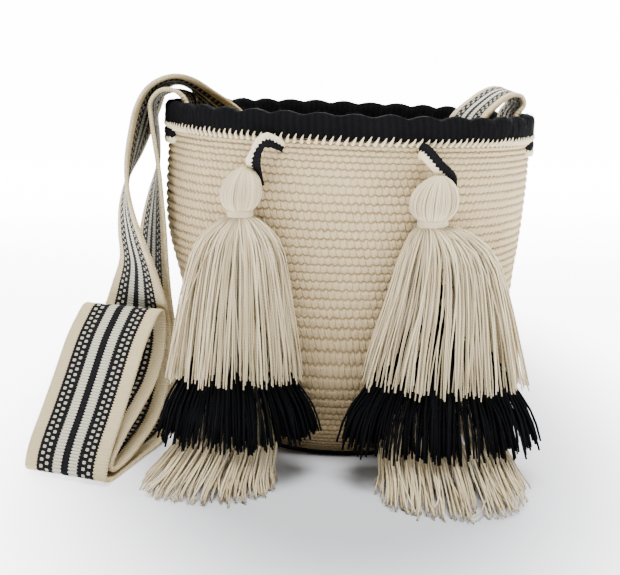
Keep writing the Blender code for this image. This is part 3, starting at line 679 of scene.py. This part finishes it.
# Near edge and width direction, from the left end inside the mouth to the right end.
STRAP_ROUTE = [
    (-0.1150, -0.0315, 0.1960, 0.00, 1.00, 0.00),
    (-0.1150, -0.0315, 0.2130, 0.00, 1.00, 0.00),
    (-0.1150, -0.0315, 0.2300, 0.00, 1.00, 0.00),
    (-0.1165, -0.0315, 0.2440, 0.00, 1.00, 0.00),
    (-0.1230, -0.0320, 0.2515, 0.00, 1.00, -0.04),
    (-0.1330, -0.0330, 0.2520, -0.02, 1.00, -0.04),
    (-0.1400, -0.0350, 0.2440, -0.05, 1.00, 0.00),
    (-0.1398, -0.0360, 0.2320, -0.09, 0.99, 0.00),
    (-0.1375, -0.0380, 0.2148, -0.11, 0.99, 0.00),
    (-0.1345, -0.0410, 0.1950, -0.17, 0.98, 0.00),
    (-0.1325, -0.0440, 0.1752, -0.30, 0.95, 0.00),
    (-0.1312, -0.0440, 0.1550, -0.41, 0.91, 0.00),
    (-0.1305, -0.0435, 0.1300, -0.50, 0.87, 0.00),
    (-0.1296, -0.0400, 0.1050, -0.60, 0.80, 0.00),
    (-0.1280, -0.0360, 0.0800, -0.70, 0.71, 0.00),
    bundle(0.1000, 0.0500, (-0.84, 0.54, 0.0)),
    bundle(0.0985, 0.0230),
    bundle(0.0880, 0.0060),
    bundle(0.0720, 0.0020),
    bundle(0.0480, 0.0020),
    bundle(0.0250, 0.0019),
    bundle(0.0060, 0.0019),
    bundle(-0.0015, 0.0050),
    bundle(-0.0005, 0.0115),
    bundle(0.0030, 0.0180),
    bundle(0.0090, 0.0260),
    bundle(0.0196, 0.0380),
    bundle(0.0357, 0.0573),
    bundle(0.0541, 0.0800),
    bundle(0.0690, 0.0930),
    bundle(0.0775, 0.0985),
    bundle(0.0835, 0.0970),
    bundle(0.0850, 0.0890),
    bundle(0.0835, 0.0740),
    bundle(0.0760, 0.0590),
    bundle(0.0640, 0.0470),
    bundle(0.0465, 0.0370),
    bundle(0.0300, 0.0290),
    bundle(0.0160, 0.0205),
    bundle(0.0080, 0.0145),
    bundle(0.0062, 0.0100),
    bundle(0.0110, 0.0070),
    bundle(0.0280, 0.0080),
    bundle(0.0490, 0.0135),
    bundle(0.0640, 0.0195),
    bundle(0.0750, 0.0275),
    bundle(0.0840, 0.0390),
    bundle(0.0900, 0.0540),
    bundle(0.0915, 0.0720),
    bundle(0.0905, 0.0900, (-0.85, 0.52, 0.0)),
    (-0.1330, -0.0500, 0.1080, -0.72, 0.69, 0.00),
    (-0.1375, -0.0535, 0.1270, -0.56, 0.83, 0.00),
    (-0.1440, -0.0565, 0.1480, -0.46, 0.89, 0.00),
    (-0.1505, -0.0575, 0.1680, -0.33, 0.94, 0.00),
    (-0.1545, -0.0565, 0.1880, -0.17, 0.98, 0.00),
    (-0.1552, -0.0530, 0.2060, 0.00, 1.00, 0.00),
    (-0.1530, -0.0480, 0.2240, 0.09, 1.00, 0.00),
    (-0.1500, -0.0430, 0.2390, 0.12, 0.98, -0.04),
    (-0.1440, -0.0370, 0.2515, 0.10, 0.98, -0.02),
    (-0.1350, -0.0310, 0.2590, 0.06, 0.99, -0.06),
    (-0.1235, -0.0250, 0.2622, 0.04, 0.98, -0.16),
    (-0.1115, -0.0180, 0.2595, 0.02, 0.94, -0.34),
    (-0.0975, -0.0080, 0.2500, 0.00, 0.90, -0.43),
    (-0.0840, 0.0010, 0.2400, 0.02, 0.86, -0.50),
    (-0.0710, 0.0140, 0.2270, 0.08, 0.72, -0.68),
    (-0.0590, 0.0340, 0.2150, 0.12, 0.45, -0.88),
    (-0.0430, 0.0600, 0.2070, 0.05, 0.15, -0.98),
    (-0.0190, 0.0785, 0.2020, 0.00, 0.03, -1.00),
    (0.0110, 0.0830, 0.2000, 0.00, 0.00, -1.00),
    (0.0400, 0.0745, 0.1995, -0.03, 0.06, -1.00),
    (0.0630, 0.0550, 0.2000, -0.08, 0.25, -0.95),
    (0.0780, 0.0270, 0.2020, -0.18, 0.60, -0.76),
    (0.0850, -0.0020, 0.2080, -0.25, 0.86, -0.42),
    (0.0890, -0.0230, 0.2190, -0.27, 0.94, -0.14),
    (0.0955, -0.0300, 0.2330, -0.26, 0.96, -0.04),
    (0.1040, -0.0310, 0.2425, -0.14, 0.98, 0.04),
    (0.1120, -0.0305, 0.2480, -0.06, 0.99, 0.06),
    (0.1190, -0.0315, 0.2475, 0.00, 1.00, 0.04),
    (0.1210, -0.0315, 0.2415, 0.00, 1.00, 0.00),
    (0.1165, -0.0315, 0.2345, 0.00, 1.00, 0.00),
    (0.1150, -0.0315, 0.2240, 0.00, 1.00, 0.00),
    (0.1150, -0.0315, 0.2080, 0.00, 1.00, 0.00),
    (0.1150, -0.0315, 0.1900, 0.00, 1.00, 0.00),
]


def strap_lift(side, along):
    """Half thickness of the band: rungs where the weft turns, corded selvages, lengthwise ribs."""
    rung = abs(math.sin(math.pi * along / RUNG))
    selvage = math.exp(-((abs(side) - 0.955) / 0.03) ** 2)
    rib = 0.5 + 0.5 * math.cos(side * 60.0)
    return STRAP_HALF * (0.72 + 0.22 * rung + 0.10 * rib + 0.30 * selvage)


woven = cotton_material("woven_band", (0.64, 0.55, 0.345), (0.40, 0.315, 0.17), sheen=0.0, shine=0.05)
tree = woven.node_tree
shader = tree.nodes["Principled BSDF"]
edge_tone = shader.inputs["Base Color"].links[0].from_socket
along = read_attribute(tree, "along")
across = read_attribute(tree, "across")
side = calc(tree, "ABSOLUTE", across)
rungs = fraction_of(tree, calc(tree, "DIVIDE", along, RUNG), 0.8)
twill = calc(tree, "MULTIPLY_ADD", across, 0.0315 / 0.0013, calc(tree, "DIVIDE", along, 0.0017))
twill = fraction_of(tree, twill, 0.9)
off_centre = calc(tree, "MULTIPLY_ADD", rungs, 0.048, side)


def between(low, high):
    """1 where the distance from the band's middle lies between two fractions of its half width."""
    return calc(tree, "MULTIPLY", calc(tree, "GREATER_THAN", off_centre, low),
                calc(tree, "LESS_THAN", off_centre, high))


def dot_column(centre, stagger):
    """A lengthwise column of small square dots, one to every second rung."""
    step = calc(tree, "ADD", calc(tree, "DIVIDE", along, 2.0 * RUNG), stagger)
    reach = calc(tree, "MULTIPLY", calc(tree, "PINGPONG", step, 0.5), 2.0 * RUNG / DOT_LENGTH)
    aside = calc(tree, "ABSOLUTE", calc(tree, "SUBTRACT", side, centre))
    aside = calc(tree, "DIVIDE", aside, DOT_WIDTH)
    corner = calc(tree, "ADD", calc(tree, "POWER", reach, 4.0), calc(tree, "POWER", aside, 4.0))
    return calc(tree, "LESS_THAN", corner, 1.0)


light_stripe = between(0.13, 0.335)
dot_band = between(0.335, 0.735)
dots = calc(tree, "MAXIMUM", dot_column(0.45, 0.0), dot_column(0.585, 0.5))
dark = calc(tree, "ADD", calc(tree, "MULTIPLY", dot_band, calc(tree, "SUBTRACT", 1.0, dots)),
            calc(tree, "LESS_THAN", off_centre, 0.13))
cool = mix_colour(tree, rungs, (0.15, 0.138, 0.102, 1.0), (0.47, 0.445, 0.345, 1.0))
pale = calc(tree, "ADD", light_stripe, calc(tree, "MULTIPLY", dot_band, dots))
warm = mix_colour(tree, twill, (0.22, 0.160, 0.080, 1.0), edge_tone)
toned = mix_colour(tree, join(tree, "ShaderNodeClamp", Value=pale).outputs[0], warm, cool)
tree.links.new(mix_colour(tree, join(tree, "ShaderNodeClamp", Value=dark).outputs[0], toned,
                          STRIPE_BLACK), shader.inputs["Base Color"])
weave_into(woven, calc(tree, "ADD", calc(tree, "MULTIPLY", rungs, 0.6),
                       calc(tree, "MULTIPLY", twill, 0.5)), 0.0006, 0.6)
strap_stations = stations_along(STRAP_ROUTE, 0.00055, STRAP_WIDTH / 2)
strap = finish_piece("woven_strap", band_shell(strap_stations, STRAP_WIDTH / 2, 32, strap_lift,
                                                 RUNG),
                     woven, "bag", ("strap",))

# ---- The tassels --------------------------------------------------------------------------------
# Three tassels to a string: a bundle of plied yarns folded over, bound at the neck and cut level.
# Each lower one is strung up inside the skirt above, and the lowest spreads where it meets the floor.
# A plan has the top head's place, crown, radius and neck. Each skirt has its head's place from there,
# and its outline down to the hem: place, height, half width and half depth.
LEFT_TASSEL = {
    "head": (-0.0735, -0.1080, 0.2066, 0.0128, 0.1790),
    "skirts": [
        {
            "head": (0.0000, 0.0000, 0.2066),
            "outer": [
                (-0.0008, 0.0010, 0.1690, 0.0170, 0.0135),
                (-0.0018, 0.0010, 0.1550, 0.0275, 0.0170),
                (-0.0032, 0.0010, 0.1250, 0.0345, 0.0190),
                (-0.0042, 0.0010, 0.0920, 0.0395, 0.0205),
                (-0.0052, 0.0010, 0.0680, 0.0425, 0.0220),
            ],
        },
        {
            "head": (-0.0032, 0.0010, 0.1340),
            "outer": [
                (-0.0037, 0.0010, 0.1080, 0.0120, 0.0090),
                (-0.0044, 0.0010, 0.0900, 0.0240, 0.0120),
                (-0.0049, 0.0010, 0.0680, 0.0345, 0.0158),
                (-0.0049, -0.0010, 0.0500, 0.0430, 0.0215),
                (-0.0049, -0.0060, 0.0300, 0.0480, 0.0260),
            ],
        },
        {
            "head": (-0.0047, 0.0010, 0.0900),
            "outer": [
                (-0.0049, 0.0010, 0.0660, 0.0100, 0.0090),
                (-0.0052, -0.0010, 0.0500, 0.0220, 0.0125),
                (-0.0092, -0.0070, 0.0300, 0.0320, 0.0160),
                (-0.0182, -0.0160, 0.0120, 0.0390, 0.0240),
                (-0.0212, -0.0200, 0.0050, 0.0430, 0.0280),
                (-0.0217, -0.0210, 0.0005, 0.0440, 0.0290),
            ],
        },
    ],
}
RIGHT_TASSEL = {
    "head": (0.0480, -0.1165, 0.2020, 0.0150, 0.1740),
    "skirts": [
        {
            "head": (0.0000, 0.0000, 0.2020),
            "outer": [
                (0.0055, 0.0010, 0.1655, 0.0190, 0.0145),
                (0.0110, 0.0010, 0.1500, 0.0305, 0.0180),
                (0.0122, 0.0015, 0.1220, 0.0390, 0.0200),
                (0.0108, 0.0015, 0.0900, 0.0475, 0.0220),
                (0.0104, 0.0015, 0.0654, 0.0530, 0.0235),
            ],
        },
        {
            "head": (0.0070, 0.0015, 0.1320),
            "outer": [
                (0.0075, 0.0015, 0.1050, 0.0140, 0.0095),
                (0.0085, 0.0015, 0.0880, 0.0310, 0.0135),
                (0.0090, 0.0015, 0.0654, 0.0445, 0.0172),
                (0.0085, -0.0005, 0.0470, 0.0540, 0.0235),
                (0.0081, -0.0065, 0.0260, 0.0585, 0.0285),
            ],
        },
        {
            "head": (0.0085, 0.0015, 0.0880),
            "outer": [
                (0.0085, 0.0015, 0.0640, 0.0110, 0.0095),
                (0.0085, -0.0005, 0.0470, 0.0270, 0.0140),
                (0.0095, -0.0075, 0.0260, 0.0400, 0.0185),
                (0.0125, -0.0195, 0.0120, 0.0430, 0.0270),
                (0.0135, -0.0275, 0.0050, 0.0450, 0.0340),
                (0.0140, -0.0285, 0.0005, 0.0455, 0.0350),
            ],
        },
    ],
}
# A head's outline from crown to neck: share of its height, share of its radius.
NECK_SHARE = 0.54
HEAD_SHAPE = [(0.0, 0.14), (0.05, 0.38), (0.17, 0.68), (0.36, 0.91), (0.58, 1.00), (0.80, 0.90),
              (0.94, 0.64), (1.00, NECK_SHARE), (1.10, NECK_SHARE)]
HEAD_LEAN = 0.0035
HIDDEN_HEAD_RADIUS, HIDDEN_HEAD_HEIGHT = 0.0088, 0.017


def bell_rows(head, skirt, order):
    """The tassel's outline as rows (x, y, z, half width, half depth) from crown to hem."""
    x, y, top, radius, neck = head
    if order:
        top = skirt["head"][2]
        radius, neck = HIDDEN_HEAD_RADIUS, top - HIDDEN_HEAD_HEIGHT
    head_x, head_y = x + skirt["head"][0], y + skirt["head"][1]
    rows = [(head_x + HEAD_LEAN * max(1.0 - down, 0.0) ** 2, head_y, top - (top - neck) * down,
             radius * wide, radius * wide) for down, wide in HEAD_SHAPE]
    rows += [(x + dx, y + dy, z, wide, deep) for dx, dy, z, wide, deep in skirt["outer"]]
    return rows, (head_x, head_y, neck - (top - neck) * 0.04, radius * NECK_SHARE)


def strand(rows, chance, angle, depth, start, looks, lock):
    """One yarn from the crown or neck to its cut end, at a depth from 0 (core) to 1 (outside).

    It keeps near its lock, a few yarns that hang together, and waves a little on its own. About
    one outer yarn in six strays: it crosses its neighbours and bends more.
    """
    spread, ragged, flare = looks
    stray_yarn = depth > 0.8 and chance.random() < 0.16
    drift = lock + chance.gauss(0.0, spread * (2.6 if stray_yarn else 0.5))
    widest = 0.0042 if stray_yarn else 0.0020
    sway = [(chance.uniform(0.0, 6.3), chance.uniform(4.0, 14.0), chance.uniform(0.0003, widest))
            for _ in range(3)]
    end = 1.0 + chance.uniform(-ragged, ragged * 0.4)
    kick = 1.0 + flare * abs(chance.gauss(0.0, 1.0))
    steps = 24 if start < 0.2 else 16
    points = []
    for step in range(steps + 1):
        place = start + (end - start) * step / steps
        x, y, z, wide, deep = blend_rows(rows, min(place, 1.0))
        if place > 1.0:
            before = blend_rows(rows, 0.97)
            run = (place - 1.0) / 0.03
            x, y, z, wide, deep = (now + (now - old) * run
                                   for now, old in zip((x, y, z, wide, deep), before))
        loose = ease((place - 0.5) * 2.0)
        turn = angle + drift * loose
        grow = depth * (1.0 + (kick - 1.0) * loose ** 3)
        stray = [reach * loose * math.sin(phase + pace * place) for phase, pace, reach in sway]
        point = Vector((x + wide * grow * math.cos(turn) + stray[0],
                        y + deep * grow * math.sin(turn) + stray[1], max(z + stray[2], 0.0009)))
        points.append((point, 1.0 if step < steps else 0.85))
    return points


def tassel_yarns(rows, counts, radius, looks, seed):
    """All the yarns of one tassel in layers; some run from the crown, the rest from the neck."""
    chance = random.Random(seed)
    strands = []
    for depth, start, count in counts:
        lock, lock_depth = 0.0, 0.0
        for index in range(count):
            if index % YARNS_IN_LOCK == 0:
                lock, lock_depth = chance.gauss(0.0, looks[0]), chance.uniform(-0.05, 0.03)
            angle = 2.0 * math.pi * (index + chance.uniform(-0.3, 0.3)) / count
            reach = depth + lock_depth * (0.4 if start < 0.2 else 1.0) + chance.uniform(-0.02, 0.02)
            strands.append(strand(rows, chance, angle, reach, start, looks, lock))
    return yarn_mesh(strands, radius, sides=4)


def neck_binding(neck, yarn, turns):
    """Yarn wound tightly round the neck."""
    x, y, z, radius = neck
    coil = []
    for step in range(turns * 20 + 1):
        angle = 2.0 * math.pi * step / 20
        rise = (step / (turns * 20) - 0.5) * (turns - 1) * yarn * 1.5
        reach = radius + yarn * 1.2
        coil.append((Vector((x + reach * math.cos(angle), y + reach * math.sin(angle), z + rise)), 1.0))
    return yarn_mesh([coil], yarn)


def plied(name, light, dark, shine=0.15):
    """Loosely plied yarn: each strand has its own tone, crossed by the slant of its two plies."""
    material = cotton_material(name, light, dark, relief=0.45, strength=0.5, sheen=0.0, shine=shine)
    tree = material.node_tree
    shader = tree.nodes["Principled BSDF"]
    tone = shader.inputs["Base Color"].links[0].from_socket
    place = join(tree, "ShaderNodeSeparateXYZ",
                 Vector=join(tree, "ShaderNodeTexCoord").outputs["Object"]).outputs
    slant = calc(tree, "ADD", place["Z"], calc(tree, "MULTIPLY", place["X"], 0.9))
    ply = calc(tree, "PINGPONG", calc(tree, "DIVIDE", slant, 0.0021), 0.5)
    own = join(tree, "ShaderNodeNewGeometry").outputs["Random Per Island"]
    share = calc(tree, "ADD", calc(tree, "MULTIPLY", ply, 0.60), calc(tree, "MULTIPLY", own, 0.60))
    deep = tuple(value * 0.72 for value in dark)
    tree.links.new(mix_colour(tree, share, (*deep, 1.0), tone), shader.inputs["Base Color"])
    return material


tassel_beige = plied("tassel_yarn", (0.90, 0.81, 0.59), (0.50, 0.39, 0.215))
tassel_black = plied("black_tassel_yarn", (0.0080, 0.0085, 0.0095), (0.0025, 0.0025, 0.0030),
                     shine=0.02)
YARNS_IN_LOCK = 6
# Layers from the core out: share of the skirt's radius, start (0 crown, 0.45 neck), yarns.
UPPER_LAYERS = [(0.45, 0.45, 30), (0.72, 0.45, 84), (0.86, 0.44, 124), (0.93, 0.0, 76),
                (1.00, 0.0, 84)]
BLACK_LAYERS = [(0.66, 0.45, 70), (0.80, 0.45, 110), (0.92, 0.45, 140), (1.00, 0.0, 24),
                (1.00, 0.45, 120)]
LOWER_LAYERS = [(0.50, 0.45, 40), (0.70, 0.45, 64), (0.86, 0.45, 90), (1.00, 0.0, 30),
                (0.98, 0.45, 76)]
# For each tier: name, yarn, slot, layers, yarn radius, looks (spread, raggedness, flare), and turns
# of the binding.
TIERS = (
    ("upper", tassel_beige, "tassel_cotton", UPPER_LAYERS, 0.00057, (0.17, 0.028, 0.04), 4),
    ("middle", tassel_black, "black_cotton", BLACK_LAYERS, 0.00080, (0.14, 0.028, 0.08), 3),
    ("lower", tassel_beige, "tassel_cotton", LOWER_LAYERS, 0.00060, (0.18, 0.030, 0.05), 3),
)
BINDING_YARN = 0.0008
for side, plan in (("left", LEFT_TASSEL), ("right", RIGHT_TASSEL)):
    for order, (name, yarn, slot, layers, radius, looks, turns) in enumerate(TIERS):
        rows, neck = bell_rows(plan["head"], plan["skirts"][order], order)
        body = f"{side}_tassel"
        seed = 40 + order * 7 + (side == "right") * 3
        finish_piece(f"{side}_{name}_yarns", tassel_yarns(rows, layers, radius, looks, seed), yarn,
                     body, (f"{side}_{name}_tassel",))
        finish_piece(f"{side}_{name}_wrap", neck_binding(neck, BINDING_YARN, turns), yarn, body,
                     (f"{side}_{name}_binding",))
